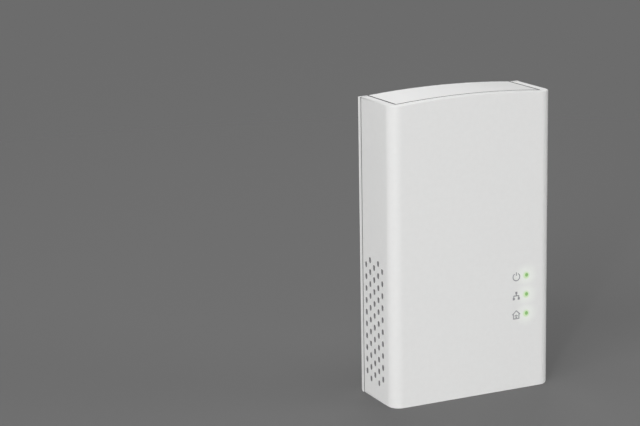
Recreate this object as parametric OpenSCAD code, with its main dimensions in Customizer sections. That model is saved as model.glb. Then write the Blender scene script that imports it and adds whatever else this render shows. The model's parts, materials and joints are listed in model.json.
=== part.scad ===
// Powerline network adapter that hangs on its own mains plug.
// Origin on the plug's axis in the plane of the rear face. +Y runs into the wall, +Z is up.
// The front face looks along -Y. All sizes are in millimetres.

/* [Body] */
// Width across the two side walls
body_w = 59.5; // [57:0.5:70]
// Height of the side walls
body_h = 100; // [98:0.5:120]
// Depth from the rear face to the front face
body_d = 23.5; // [22:0.25:27]
// Height of the side walls' top over the plug's axis
plug_below_top = 21; // [20.5:0.25:24]
// Rise of the arched top panel over the side walls
arch_rise = 1.15; // [0.5:0.05:2]
// Radius of the upright front corners
corner_r = 4; // [3.5:0.25:6]
// Thickness of the front wall
front_wall = 2.6; // [1.8:0.1:3]
// Thickness of the side walls
side_wall = 2.4; // [1.8:0.1:2.6]
// Thickness of the back plate
back_wall = 2.4; // [2.2:0.1:3]
// Thickness of the top and bottom panels
panel_t = 2.2; // [1.8:0.1:2.4]
// Distance from the outer side to the middle of the joint beside the top panel
joint_inset = 3.3; // [3.2:0.1:6]
// Width of the joint round the top panel
joint_w = 0.6; // [0.3:0.05:0.9]
// Depth of the joint where it runs over the back plate
joint_depth = 1.2; // [0.6:0.1:2]
// Gap of the other seams between the two shells
seam = 0.25; // [0.1:0.05:0.4]

/* [Vents] */
// Number of columns of slots on each side
vent_cols = 5; // [3:1:5]
// Number of slots in a short column, one less than in a long one
vent_rows = 10; // [6:1:11]
// Width of a slot
vent_w = 1.3; // [0.8:0.1:1.6]
// Height of a slot
vent_h = 1.9; // [1.7:0.1:2.6]
// Spacing of the columns
vent_col_pitch = 2.85; // [2.4:0.05:3]
// Spacing of the slots in a column
vent_row_pitch = 4.05; // [3.4:0.05:4.4]
// Distance from the rear face to the first column
vent_from_rear = 5; // [3.6:0.1:5.5]
// Height of the lowest slot over the bottom
vent_from_bottom = 5.4; // [5:0.1:12]

/* [Lamps] */
// Diameter of a lamp in the front face
lamp_d = 1.6; // [1:0.1:2]
// Spacing of the lamps
lamp_pitch = 6.55; // [5:0.05:7]
// Distance of the lamps from the right side
lamp_from_side = 9.6; // [9:0.1:12]
// Height of the lowest lamp over the bottom
lamp_from_bottom = 25.8; // [25:0.1:28]

/* [Plug] */
// Diameter of the round plug body
barrel_d = 36.5; // [35:0.1:37]
// Length of the plug body behind the rear face
barrel_len = 17.5; // [16:0.1:18]
// Diameter of a mains pin
pin_d = 4.8; // [4:0.05:5]
// Free length of a mains pin
pin_len = 19; // [18:0.1:19.5]
// Spacing of the mains pins
pin_spacing = 19; // [18:0.1:20]
// Width of a guide groove on the plug's side
groove_w = 5.2; // [4.5:0.1:6]
// Depth of a guide groove
groove_depth = 3.4; // [2.5:0.1:4]
// Height of the earth socket over the plug's axis
earth_offset = 10; // [9.5:0.1:11]
// Bore of the earth socket
earth_bore_d = 4.9; // [4.85:0.01:5.2]
// Depth of the earth socket
earth_bore_len = 14.5; // [13:0.1:16]
// Width of the earth strap
strap_w = 7; // [5:0.1:8]
// Thickness of the earth strap
strap_t = 0.8; // [0.5:0.05:0.9]

/* [Board] */
// Thickness of the circuit board
board_t = 1.6; // [1:0.1:1.8]
// Height of the posts that carry the board
standoff_h = 3.2; // [3.2:0.05:3.6]
// Diameter of a thread of the board screws
board_screw_d = 2; // [1.6:0.1:2.2]
// Diameter of a thread of the housing screws
case_screw_d = 2.2; // [1.8:0.1:2.4]

/* [Port and buttons] */
// Place of the network jack along the bottom
jack_x = 6.4; // [6:0.1:7]
// Width of the network jack
jack_w = 16.2; // [15.6:0.1:16.6]
// Height of the network jack over the board
jack_h = 10.4; // [10:0.1:10.6]
// Length of the network jack
jack_len = 15.6; // [14.5:0.1:16]
// Place of the pairing button along the bottom
pair_x = -7.5; // [-8.5:0.1:-7]
// Length of the pairing button
pair_w = 8.4; // [7:0.1:8.6]
// Breadth of the pairing button
pair_b = 5; // [4:0.1:5.4]
// Depth of the pairing button's face inside the bottom
pair_sink = 0.1; // [0:0.05:0.6]
// Place of the reset button along the bottom
reset_x = -15.4; // [-16:0.1:-15.2]
// Diameter of the reset button
reset_d = 2.6; // [2:0.1:3]
// Depth of the reset button's face inside the bottom
reset_sink = 0.8; // [0.3:0.05:1.2]
// Travel of the two buttons
press_travel = 0.6; // [0.3:0.05:0.8]
// Clearance round a moving button
button_clear = 0.3; // [0.2:0.05:0.4]

/* [Hidden] */
$fn = 96;

// Small gap between pieces that are fixed to each other
fit = 0.05;
// Length by which a cut runs past the face that it opens
over = 1;

// Planes of the body
x_side = body_w / 2;
x_side_in = x_side - side_wall;
y_front = -body_d;
y_front_in = y_front + front_wall;
y_back_in = -back_wall;
y_cover_rear = y_back_in - seam;
z_top = plug_below_top;
z_bottom = z_top - body_h;
z_floor = z_bottom + panel_t;

// The arch is a circle through the two joints and the crown
x_joint = x_side - joint_inset;
x_lip = x_joint + joint_w / 2;
x_panel = x_joint - joint_w / 2;
arch_r = (x_joint * x_joint + arch_rise * arch_rise) / (2 * arch_rise);
arch_fn = 1440;

// Tongues of the back plate that locate the side walls
tongue_t = 1.2;
tongue_h = 2;
tongue_clear = 0.15;

// Screws through the back plate into posts of the front cover
case_screw_inset = 5;
case_screw_top = 5.5;
case_screw_bottom = 7;
case_screw_len = 8;
case_boss_r = 3;
case_head_r = 2.2;
case_head_t = 1.1;
case_head_clear = 0.2;
case_screws = [
  for (side = [-1, 1]) for (z = [z_top - case_screw_top, z_bottom + case_screw_bottom])
    [side * (x_side - case_screw_inset), z]
];

// Board plane and outline
y_board_rear = y_back_in - standoff_h;
y_board = y_board_rear - board_t;
board_side_gap = 0.9;
board_x = x_side_in - board_side_gap;
board_top = z_top - case_screw_top - case_boss_r - 0.7;
board_floor_gap = 2.2;
board_bottom = z_floor + board_floor_gap;
board_notch = case_boss_r + 0.8;
standoff_r = 2.8;
board_head_r = 1.9;
board_head_t = 1.2;
board_screw_len = 4;
board_screw_inset = 3.9;
board_screw_low_inset = 2.9;
board_screw_margin = 2.4;
board_screw_left_z = -12.4;
board_screw_right_z = -13;
output_d = 8;
output_inset = 4.6;
output_gap = 0.35;
output_at = [
  board_x - output_inset, z_bottom + case_screw_bottom + case_boss_r + output_gap + output_d / 2
];
board_screws_at = [
  [board_screw_inset - board_x, board_screw_left_z],
  [board_x - board_screw_inset, board_screw_right_z],
  [board_screw_low_inset - board_x, z_bottom + case_screw_bottom + board_notch + board_screw_margin],
  [board_x - board_screw_inset, output_at[1] + output_d / 2 + output_gap + board_head_r]
];

// Plug
barrel_r = barrel_d / 2;
barrel_fit = 0.1;
barrel_edge_r = 1.2;
flange_lip = 1.1;
flange_t = 2;
y_flange = y_back_in - flange_t;
pin_r = pin_d / 2;
stem_r = pin_r - 0.2;
stem_proud = 0.9;
terminal_r = 4;
terminal_t = 0.8;
groove_start = 1.5;
earth_tube_wall = 0.55;
earth_tube_r = earth_bore_d / 2 + earth_tube_wall;
strap_tip_gap = 2.5;
strap_end = barrel_len - strap_tip_gap;
strap_z = sqrt(barrel_r * barrel_r - strap_w * strap_w / 4) - 0.1;
strap_clear = 0.15;
strap_leg_w = 2.4;
strap_leg_z = -13;

// Network jack
jack_wall = 0.3;
z_mouth = z_floor + 0.1;
jack_cavity_w = 11.9;
jack_cavity_h = 7;
jack_cavity_depth = 12.5;
jack_latch_w = 6.4;
jack_latch_h = 1;
jack_floor = 1.7;
contact_count = 8;
contact_pitch = 1.02;
contact_w = 0.45;
contact_t = 0.4;
contact_pocket = 0.9;
contact_rise = 1.8;
contact_root = 1.6;
contact_tip_gap = 2.5;
y_cavity = y_board - jack_floor;
port_margin = 0.6;

// Buttons and the switches behind them
switch_axis_h = 2.6;
y_button = y_board - switch_axis_h;
button_flange = 1;
button_flange_t = 0.8;
button_rest_gap = 0.1;
plunger_r = 1.45;
plunger_play = 0.15;
plunger_in = 1.6;
switch_w = 5.6;
switch_h = 4.8;
z_flange = z_floor + button_rest_gap;
z_plunger = z_flange + button_flange_t + fit;
z_switch = z_plunger + press_travel + 0.4;
switch_len = plunger_in + press_travel + 1.4;

// Lamps
lamp_x = x_side - lamp_from_side;
lamp_count = 3;
lamp_hole_fit = 0.05;
pipe_r = 1.5;
led_w = 2;
led_b = 1.3;
led_h = 0.9;
baffle_wall = 1.3;
baffle_front_gap = 1;

// Sizes of the components on the board
fuse_d = 8.4;
fuse_h = 8;
fuse_rim = 0.4;
varistor_d = 9.2;
varistor_t = 4;
safety_d = 8;
safety_t = 3.6;
disc_lift = 0.2;
filter_w = 14;
filter_b = 5.4;
filter_h = 10;
choke_r_in = 2.6;
choke_r_out = 5.5;
choke_t = 5;
coil_t = 0.8;
coil_clear = 0.1;
coil_angle = 130;
bridge_w = 8.4;
bridge_l = 6.4;
bridge_h = 3.2;
can_d = 10;
can_len = 14;
can_neck = 1;
can_cap = 2.4;
can_lift = 0.1;
output_h = 10;
output_rim = 1.6;
output_neck = 0.8;
core_w = 15;
core_l = 13;
core_t = 4.8;
core_leg = 2;
core_mid = 4;
bobbin_wall = 0.6;
bobbin_flange_b = 9.8;
bobbin_clear = 0.1;
winding_gap = 0.5;
transformer_lift = bobbin_flange_b / 2 + can_lift;
controller_w = 4;
controller_l = 5;
controller_h = 1.6;
diode_w = 2.6;
diode_l = 4.4;
diode_h = 2.2;
coupling_w = 9;
coupling_l = 6.6;
coupling_h = 7;
coupling_base = 1.2;
coupling_step = 0.8;
chip_w = 11;
chip_t = 1;
pad_t = 0.5;
sink_w = 14;
sink_base = 1.6;
sink_fins = 6;
fin_t = 1;
fin_h = 4.6;
memory_w = 9;
memory_l = 5.5;
memory_h = 1.1;
flash_w = 4.6;
flash_l = 5;
flash_h = 1.6;
phy_w = 4.8;
phy_h = 0.9;
crystal_l = 8;
crystal_w = 3.4;
crystal_base = 0.6;
crystal_h = 3.6;
crystal_step = 0.3;
magnetics_w = 11.6;
magnetics_l = 7;
magnetics_h = 5.8;

// Clearance between components that stand in a row
part_gap = 0.7;

// Places of the mains components, from the board's sides, the plug's axis and each other
fuse_inset = 6.7;
fuse_z = 5;
varistor_inset = 6.7;
varistor_z = 4;
filter_x = -9.5;
filter_z = -10;
choke_x = 10.5;
choke_z = -12;
choke_reach = choke_r_out + coil_clear + coil_t;
bridge_inset = 8.2;
bridge_z = board_screw_left_z - board_head_r - part_gap - bridge_l / 2;
controller_x = -7;
safety_inset = 3.8;
bulk_inset = 1.2;
bulk_x = bulk_inset + can_d / 2 - board_x;
bulk_z = bridge_z - bridge_l / 2 - 2 * part_gap - can_len / 2;
transformer_x = 8.9;
fuse_at = [fuse_inset - board_x, fuse_z];
varistor_at = [board_x - varistor_inset, varistor_z];
filter_at = [filter_x, filter_z];
choke_at = [choke_x, choke_z];
bridge_at = [bridge_inset - board_x, bridge_z];
controller_at = [controller_x, bridge_z];
safety_at = [board_x - safety_inset, board_screw_right_z - board_head_r - part_gap - safety_d / 2];
bulk_at = [[bulk_x, bulk_z], [bulk_x + can_d + part_gap, bulk_z]];
transformer_at = [transformer_x, choke_z - choke_reach - 2 * part_gap - core_l / 2];

// Places of the network components, above the switches and the jack
z_jack_top = z_mouth + jack_len;
z_switch_top = z_switch + switch_len;
memory_x = -12;
memory_at = [memory_x, z_switch_top + part_gap + memory_l / 2];
chip_x = -13;
x_by_sink = chip_x + sink_w / 2 + part_gap / 2;
crystal_at = [x_by_sink + crystal_w / 2, z_switch_top + part_gap + crystal_l / 2];
chip_at = [chip_x, memory_at[1] + memory_l / 2 + part_gap + sink_w / 2];
phy_x = x_by_sink + phy_w / 2;
phy_at = [phy_x, z_jack_top + part_gap + phy_w / 2];
flash_at = [phy_x, phy_at[1] + phy_w / 2 + part_gap + flash_l / 2];
magnetics_x = 6.6;
magnetics_at = [magnetics_x, z_jack_top + part_gap + magnetics_l / 2];
coupling_at = [magnetics_x, magnetics_at[1] + magnetics_l / 2 + part_gap + coupling_l / 2];
diode_at = [magnetics_x - coupling_w / 2 - part_gap / 2 - diode_w / 2, coupling_at[1]];

// Plain extrusion of an outline in x and z, from one y to another
module along_y(y0, y1) {
  translate([0, y1, 0])
    rotate([90, 0, 0])
      linear_extrude(y1 - y0)
        children();
}

// Places a piece on the board's front, with its own x right, y up and z out of the board
module on_board(at) {
  translate([at[0], y_board, at[1]])
    rotate([90, 0, 0])
      children();
}

// Block centred on its base
module block(w, l, h) {
  translate([-w / 2, -l / 2, 0])
    cube([w, l, h]);
}

// Round rod along y from one end to the other
module rod_y(r, y0, y1) {
  translate([0, y0, 0])
    rotate([-90, 0, 0])
      cylinder(r = r, h = y1 - y0);
}

// Outline with round ends, long in x
module stadium(w, b) {
  square([w - b, b], center = true);
  for (side = [-1, 1])
    translate([side * (w - b) / 2, 0])
      circle(d = b);
}

// Plan of the cover: straight sides and round front corners
module cover_plan(half_w, y_f, y_r, r) {
  translate([-half_w, y_f + r])
    square([2 * half_w, y_r - y_f - r]);
  translate([-half_w + r, y_f])
    square([2 * (half_w - r), y_r - y_f]);
  for (side = [-1, 1])
    translate([side * (half_w - r), y_f + r])
      circle(r);
}

// Disc whose edge is the arch of the top, lowered by a distance
module arch_disc(drop) {
  translate([0, z_top + arch_rise - drop - arch_r])
    circle(arch_r, $fn = arch_fn);
}

// Front outline of the whole body, with the arched top between the joints
module body_outline() {
  translate([-x_side, z_bottom])
    square([2 * x_side, body_h]);
  intersection() {
    arch_disc(0);
    translate([-x_joint, z_top - arch_rise])
      square([2 * x_joint, 3 * arch_rise]);
  }
}

// Slots of one side wall, in staggered columns
module vents() {
  for (column = [0 : vent_cols - 1]) {
    long_column = column % 2;
    for (row = [0 : vent_rows - 1 + long_column]) {
      y = -vent_from_rear - column * vent_col_pitch;
      z = z_bottom + vent_from_bottom + vent_h / 2
        + (row + (1 - long_column) / 2) * vent_row_pitch;
      translate([x_side_in - over, y, z])
        rotate([0, 90, 0])
          linear_extrude(side_wall + 2 * over)
            stadium(vent_h, vent_w);
    }
  }
}

// Outside of the cover, cut to the arched top
module cover_shape() {
  intersection() {
    translate([0, 0, z_bottom])
      linear_extrude(body_h + 2 * arch_rise)
        cover_plan(x_side, y_front, y_cover_rear, corner_r);
    along_y(y_front - over, over)
      body_outline();
  }
}

// Lips beside the top panel and posts for the housing screws
module cover_lips_and_posts() {
  for (side = [0, 1])
    mirror([side, 0, 0])
      translate([x_lip, y_front_in - over, z_top - panel_t])
        cube([x_side_in - x_lip + over, y_cover_rear - y_front_in + over, panel_t]);
  for (at = case_screws)
    translate([at[0], 0, at[1]])
      rod_y(case_boss_r, y_front_in - over, y_back_in - fit);
}

module front_cover() {
  color([0.90, 0.90, 0.90])
    difference() {
      union() {
        difference() {
          cover_shape();
          translate([0, 0, z_bottom - over])
            linear_extrude(body_h + 2 * arch_rise + 2 * over)
              cover_plan(x_side_in, y_front_in, over, corner_r - side_wall);
        }
        intersection() {
          cover_lips_and_posts();
          translate([0, 0, z_bottom])
            linear_extrude(body_h)
              cover_plan(x_side, y_front, over, corner_r);
        }
      }
      for (at = case_screws)
        translate([at[0], 0, at[1]])
          rod_y(case_screw_d / 2 + fit, y_back_in - case_screw_len - over, over);
      for (side = [0, 1])
        mirror([side, 0, 0])
          vents();
      for (lamp = [0 : lamp_count - 1])
        translate([lamp_x, 0, lamp_z(lamp)])
          rod_y(lamp_d / 2 + lamp_hole_fit, y_front - over, y_front_in + over);
    }
}

module rear_housing() {
  color([0.90, 0.90, 0.90])
    difference() {
      union() {
        along_y(y_back_in, 0)
          body_outline();
        along_y(y_front_in + joint_w, y_back_in / 2)
          difference() {
            intersection() {
              arch_disc(0);
              translate([-x_panel, z_top - panel_t - arch_rise])
                square([2 * x_panel, panel_t + 3 * arch_rise]);
            }
            arch_disc(panel_t);
          }
        translate([0, 0, z_bottom])
          linear_extrude(panel_t)
            cover_plan(x_side_in - seam, y_front_in + seam, y_back_in / 2, corner_r - side_wall);
        for (side = [-1, 1])
          translate([side * (x_side_in - tongue_clear - tongue_t / 2), y_back_in - tongue_h, 0])
            translate([-tongue_t / 2, 0, tongue_low()])
              cube([tongue_t, tongue_h + back_wall / 2, tongue_high() - tongue_low()]);
        for (at = board_screws_at)
          translate([at[0], 0, at[1]])
            rod_y(standoff_r, y_board_rear, y_back_in / 2);
      }
      for (side = [-1, 1])
        translate([side * x_joint - joint_w / 2, y_back_in - over, z_top - joint_depth])
          cube([joint_w, back_wall + 2 * over, joint_depth + arch_rise]);
      rod_y(barrel_r + barrel_fit, y_back_in - over, over);
      for (at = case_screws)
        translate([at[0], 0, at[1]]) {
          rod_y(case_screw_d / 2 + case_head_clear, y_back_in - over, over);
          rod_y(case_head_r + case_head_clear, -case_head_t - fit, over);
        }
      for (at = board_screws_at)
        translate([at[0], 0, at[1]])
          rod_y(board_screw_d / 2 + fit, y_board_rear - over, y_board + board_screw_len + 0.3);
      translate([jack_x - jack_cavity_w / 2 - port_margin, port_front(), z_bottom - over])
        cube([jack_cavity_w + 2 * port_margin, port_rear() - port_front(), panel_t + 2 * over]);
      translate([pair_x, y_button, z_bottom - over])
        linear_extrude(panel_t + 2 * over)
          stadium(pair_w + 2 * button_clear, pair_b + 2 * button_clear);
      translate([reset_x, y_button, z_bottom - over])
        cylinder(d = reset_d + 2 * button_clear, h = panel_t + 2 * over);
    }
}

// Ends of the tongues, clear of the screw posts
function tongue_low() = z_bottom + case_screw_bottom + case_boss_r + 1;
function tongue_high() = z_top - case_screw_top - case_boss_r - 1;

// Edges of the port's hole in the bottom panel
function port_front() = y_cavity - jack_cavity_h - jack_latch_h - port_margin;
function port_rear() = y_cavity + port_margin;

// Height of a lamp, counted from the lowest
function lamp_z(lamp) = z_bottom + lamp_from_bottom + lamp * lamp_pitch;

// Screw along y with a cross recess, its head's flat at y = 0 and its thread towards -y
module screw(d, len, head_r, head_t) {
  recess_w = d / 4;
  recess_depth = head_t / 2;
  difference() {
    union() {
      rod_y(head_r, -head_t, 0);
      rod_y(d / 2, -head_t - len, -head_t / 2);
    }
    for (turn = [0, 90])
      rotate([0, turn, 0])
        translate([-head_r * 0.6, -recess_depth, -recess_w / 2])
          cube([head_r * 1.2, recess_depth + over, recess_w]);
  }
}

module housing_screws() {
  color([0.62, 0.63, 0.65])
    for (at = case_screws)
      translate([at[0], 0, at[1]])
        screw(case_screw_d, case_screw_len, case_head_r, case_head_t);
}

module board_screws() {
  color([0.62, 0.63, 0.65])
    for (at = board_screws_at)
      translate([at[0], y_board - board_head_t, at[1]])
        rotate([0, 0, 180])
          screw(board_screw_d, board_screw_len, board_head_r, board_head_t);
}

// Round body of the plug, with a flange behind the back plate
module plug_body() {
  color([0.93, 0.93, 0.92])
    difference() {
      union() {
        translate([0, y_back_in, 0])
          rotate([-90, 0, 0])
            rotate_extrude() {
              square([barrel_r, barrel_len - y_back_in - barrel_edge_r]);
              square([barrel_r - barrel_edge_r, barrel_len - y_back_in]);
              translate([barrel_r - barrel_edge_r, barrel_len - y_back_in - barrel_edge_r])
                circle(barrel_edge_r);
            }
        rod_y(barrel_r + flange_lip, y_flange, y_back_in);
      }
      for (side = [0, 1])
        mirror([side, 0, 0])
          translate([barrel_r - groove_depth, groove_start, -groove_w / 2])
            cube([groove_depth + over, barrel_len, groove_w]);
      for (side = [0, 1])
        mirror([0, 0, side]) {
          translate([-strap_w / 2 - strap_clear, y_flange - over, strap_z - strap_t - strap_clear])
            cube([strap_w + 2 * strap_clear, over - y_flange, strap_t + 2 * strap_clear]);
          translate([-strap_w / 2 - strap_clear, 0, strap_z - strap_t - strap_clear])
            cube([strap_w + 2 * strap_clear, strap_end + strap_clear, barrel_r]);
        }
      for (side = [-1, 1])
        translate([side * pin_spacing / 2, 0, 0])
          rod_y(stem_r + fit, y_flange - over, barrel_len + over);
      translate([0, 0, earth_offset])
        rod_y(earth_tube_r + fit, y_flange - over, barrel_len + over);
    }
}

// Mains pin with a thin stem through the plug body and a round tip
module mains_pin(x) {
  stem_len = barrel_len + fit - y_board + stem_proud;
  translate([x, y_board - stem_proud, 0])
    rotate([-90, 0, 0])
      rotate_extrude() {
        square([stem_r, stem_len + over]);
        translate([0, stem_len])
          square([pin_r, pin_len - pin_r - fit]);
        intersection() {
          translate([0, stem_len + pin_len - pin_r - fit])
            circle(pin_r);
          translate([0, stem_len])
            square([pin_r, pin_len]);
        }
      }
}

module line_pin() {
  color([0.80, 0.78, 0.72])
    mains_pin(-pin_spacing / 2);
}

module neutral_pin() {
  color([0.80, 0.78, 0.72])
    mains_pin(pin_spacing / 2);
}

// Ring that is crimped on a pin's stem and soldered to the board
module pin_terminal(x) {
  on_board([x, 0])
    difference() {
      cylinder(r = terminal_r, h = terminal_t);
      translate([0, 0, -over])
        cylinder(r = stem_r + fit, h = terminal_t + 2 * over);
    }
}

module line_terminal() {
  color([0.75, 0.60, 0.30])
    pin_terminal(-pin_spacing / 2);
}

module neutral_terminal() {
  color([0.75, 0.60, 0.30])
    pin_terminal(pin_spacing / 2);
}

// One strip of sheet metal: a spring on each side of the plug, a bar between and a leg
module earth_strap() {
  y_bar = y_flange - fit - strap_t;
  color([0.80, 0.78, 0.72])
    union() {
      for (side = [0, 1])
        mirror([0, 0, side])
          translate([-strap_w / 2, y_bar, strap_z - strap_t])
            cube([strap_w, strap_end - y_bar, strap_t]);
      translate([-strap_w / 2, y_bar, -strap_z])
        cube([strap_w, strap_t, 2 * strap_z]);
      translate([-strap_leg_w / 2, y_board - stem_proud, strap_leg_z - strap_t / 2])
        cube([strap_leg_w, y_bar - y_board + stem_proud + strap_t / 2, strap_t]);
    }
}

// Tube for the earth pin of the other socket system
module earth_socket() {
  color([0.80, 0.78, 0.72])
    translate([0, 0, earth_offset])
      difference() {
        rod_y(earth_tube_r, y_flange, barrel_len);
        rod_y(earth_bore_d / 2, barrel_len - earth_bore_len, barrel_len + over);
      }
}

// Film between the back plate and the board's solder side
module insulating_sheet() {
  film_t = 0.3;
  film_inset = 4;
  film_plug_gap = 2;
  film_board_gap = 8;
  film_x = x_side_in - film_inset;
  film_top = -barrel_r - flange_lip - film_plug_gap;
  film_bottom = board_bottom + film_board_gap;
  color([0.85, 0.83, 0.70])
    difference() {
      translate([-film_x, y_back_in - fit - film_t, film_bottom])
        cube([2 * film_x, film_t, film_top - film_bottom]);
      for (at = board_screws_at)
        translate([at[0], 0, at[1]])
          rod_y(standoff_r + 0.4, y_board_rear, over);
    }
}

module main_board() {
  color([0.10, 0.32, 0.20])
    difference() {
      translate([-board_x, y_board, board_bottom])
        cube([2 * board_x, board_t, board_top - board_bottom]);
      for (side = [-1, 1])
        translate([side * (x_side - case_screw_inset), 0, z_bottom + case_screw_bottom])
          translate([-board_notch, y_board - over, -body_h])
            cube([2 * board_notch, board_t + 2 * over, body_h + board_notch]);
      for (side = [-1, 1])
        translate([side * pin_spacing / 2, 0, 0])
          rod_y(stem_r + 2 * fit, y_board - over, y_board_rear + over);
      translate([-strap_leg_w / 2 - strap_clear, y_board - over, strap_leg_z - strap_t])
        cube([strap_leg_w + 2 * strap_clear, board_t + 2 * over, 2 * strap_t]);
      for (at = board_screws_at)
        translate([at[0], 0, at[1]])
          rod_y(board_screw_d / 2 + 2 * fit, y_board - over, y_board_rear + over);
    }
}

// Folded sheet round the jack, open at its mouth and towards the board
module jack_shield() {
  color([0.72, 0.73, 0.75])
    difference() {
      translate([jack_x - jack_w / 2, y_board - jack_h, z_mouth])
        cube([jack_w, jack_h, jack_len]);
      translate([jack_x - jack_w / 2 + jack_wall, y_board - jack_h + jack_wall, z_mouth - over])
        cube([jack_w - 2 * jack_wall, jack_h + over, jack_len - jack_wall + over]);
    }
}

module jack_insert() {
  inner_w = jack_w - 2 * jack_wall - 2 * fit;
  inner_h = jack_h - jack_wall - 2 * fit;
  inner_len = jack_len - jack_wall - fit;
  pocket_w = contact_count * contact_pitch + 0.4;
  color([0.12, 0.12, 0.13])
    difference() {
      translate([jack_x - inner_w / 2, y_board - fit - inner_h, z_mouth])
        cube([inner_w, inner_h, inner_len]);
      translate([jack_x - jack_cavity_w / 2, y_cavity - jack_cavity_h, z_mouth - over])
        cube([jack_cavity_w, jack_cavity_h, jack_cavity_depth + over]);
      translate([jack_x - jack_latch_w / 2, y_cavity - jack_cavity_h - jack_latch_h, z_mouth - over])
        cube([jack_latch_w, jack_latch_h + over, jack_cavity_depth + over]);
      translate([jack_x - pocket_w / 2, y_cavity - over, z_mouth + 1.2])
        cube([pocket_w, contact_pocket + over, jack_cavity_depth - 1.2]);
    }
}

// Spring wires that rise from the jack's floor into its cavity
module jack_contacts() {
  y_root = y_cavity + contact_pocket - fit;
  y_tip = y_cavity - contact_rise;
  z_root = z_mouth + contact_root;
  z_tip = z_mouth + jack_cavity_depth - contact_tip_gap;
  color([0.85, 0.68, 0.32])
    for (wire = [0 : contact_count - 1])
      translate([jack_x + (wire - (contact_count - 1) / 2) * contact_pitch - contact_w / 2, 0, 0])
        rotate([90, 0, 90])
          linear_extrude(contact_w)
            polygon([
              [y_root, z_root],
              [y_root, z_root + contact_t],
              [y_tip, z_tip + contact_t],
              [y_tip, z_tip],
              [y_root - contact_t, z_root]
            ]);
}

// Cap of the pairing button: round ended, with a flange inside the bottom panel
module pair_button() {
  color([0.86, 0.86, 0.86])
    translate([pair_x, y_button, 0]) {
      translate([0, 0, z_bottom + pair_sink])
        linear_extrude(z_flange - z_bottom - pair_sink + button_flange_t / 2)
          stadium(pair_w, pair_b);
      translate([0, 0, z_flange])
        linear_extrude(button_flange_t)
          stadium(pair_w + 2 * button_flange, pair_b + 2 * button_flange);
    }
}

module reset_button() {
  color([0.25, 0.25, 0.26])
    translate([reset_x, y_button, 0]) {
      translate([0, 0, z_bottom + reset_sink])
        cylinder(d = reset_d, h = z_flange - z_bottom - reset_sink + button_flange_t / 2);
      translate([0, 0, z_flange])
        cylinder(d = reset_d + 2 * button_flange, h = button_flange_t);
    }
}

// Base of a push switch on the board's lower edge, bored for its plunger
module switch_base(x) {
  difference() {
    translate([x - switch_w / 2, y_board - switch_h, z_switch])
      cube([switch_w, switch_h, switch_len]);
    translate([x, y_button, z_switch - over])
      cylinder(r = plunger_r + plunger_play, h = plunger_in + press_travel + 0.3 + over);
  }
}

module switch_plunger(x) {
  translate([x, y_button, z_plunger])
    cylinder(r = plunger_r, h = z_switch - z_plunger + plunger_in);
}

module pair_switch() {
  color([0.15, 0.15, 0.16])
    switch_base(pair_x);
}

module pair_plunger() {
  color([0.70, 0.70, 0.68])
    switch_plunger(pair_x);
}

module reset_switch() {
  color([0.15, 0.15, 0.16])
    switch_base(reset_x);
}

module reset_plunger() {
  color([0.70, 0.70, 0.68])
    switch_plunger(reset_x);
}

// Clear rod from a lamp on the board to the front face
module light_pipe(lamp) {
  translate([lamp_x, 0, lamp_z(lamp)]) {
    rod_y(lamp_d / 2, y_front + fit, y_front_in + fit + over);
    rod_y(pipe_r, y_front_in + fit, y_board - led_h - 2 * fit);
  }
}

module power_light_pipe() {
  color([0.60, 0.85, 0.50])
    light_pipe(2);
}

module link_light_pipe() {
  color([0.60, 0.85, 0.50])
    light_pipe(1);
}

module network_light_pipe() {
  color([0.60, 0.85, 0.50])
    light_pipe(0);
}

module led(lamp) {
  on_board([lamp_x, lamp_z(lamp)])
    block(led_w, led_b, led_h);
}

module power_led() {
  color([0.95, 0.95, 0.85])
    led(2);
}

module link_led() {
  color([0.95, 0.95, 0.85])
    led(1);
}

module network_led() {
  color([0.95, 0.95, 0.85])
    led(0);
}

// Block that keeps the light of one lamp out of the next pipe
module light_baffle() {
  bore_r = pipe_r + 2 * fit;
  width = 2 * (bore_r + baffle_wall);
  height = width + (lamp_count - 1) * lamp_pitch;
  color([0.20, 0.20, 0.21])
    difference() {
      translate([lamp_x - width / 2, y_front_in + baffle_front_gap, lamp_z(0) - width / 2])
        cube([width, y_board - y_front_in - baffle_front_gap, height]);
      for (lamp = [0 : lamp_count - 1])
        translate([lamp_x, 0, lamp_z(lamp)])
          rod_y(bore_r, y_front_in, y_board + over);
    }
}

module fuse() {
  color([0.25, 0.18, 0.12])
    on_board(fuse_at) {
      cylinder(d = fuse_d, h = fuse_h - fuse_rim);
      cylinder(d = fuse_d - 2 * fuse_rim, h = fuse_h);
    }
}

// Flat disc component that stands on the board
module disc_part(at, d, t) {
  on_board(at)
    translate([-t / 2, 0, d / 2 + disc_lift])
      rotate([0, 90, 0])
        cylinder(d = d, h = t);
}

module varistor() {
  color([0.15, 0.25, 0.55])
    disc_part(varistor_at, varistor_d, varistor_t);
}

module safety_capacitor() {
  color([0.15, 0.35, 0.65])
    disc_part(safety_at, safety_d, safety_t);
}

module filter_capacitor() {
  color([0.85, 0.75, 0.20])
    on_board(filter_at)
      block(filter_w, filter_b, filter_h);
}

module choke_core() {
  color([0.25, 0.28, 0.25])
    on_board(choke_at)
      translate([0, 0, coil_t + 3 * coil_clear])
        rotate_extrude()
          translate([choke_r_in, 0])
            square([choke_r_out - choke_r_in, choke_t]);
}

// Two coils that wrap opposite parts of the choke's ring
module choke_windings() {
  hole_w = choke_r_out - choke_r_in + 2 * coil_clear;
  hole_h = choke_t + 2 * coil_clear;
  color([0.72, 0.42, 0.20])
    on_board(choke_at)
      for (half = [0, 1])
        rotate([0, 0, 180 * half + (180 - coil_angle) / 2])
          rotate_extrude(angle = coil_angle)
            difference() {
              translate([choke_r_in - coil_clear - coil_t, 2 * coil_clear])
                square([hole_w + 2 * coil_t, hole_h + 2 * coil_t]);
              translate([choke_r_in - coil_clear, 2 * coil_clear + coil_t])
                square([hole_w, hole_h]);
            }
}

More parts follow.
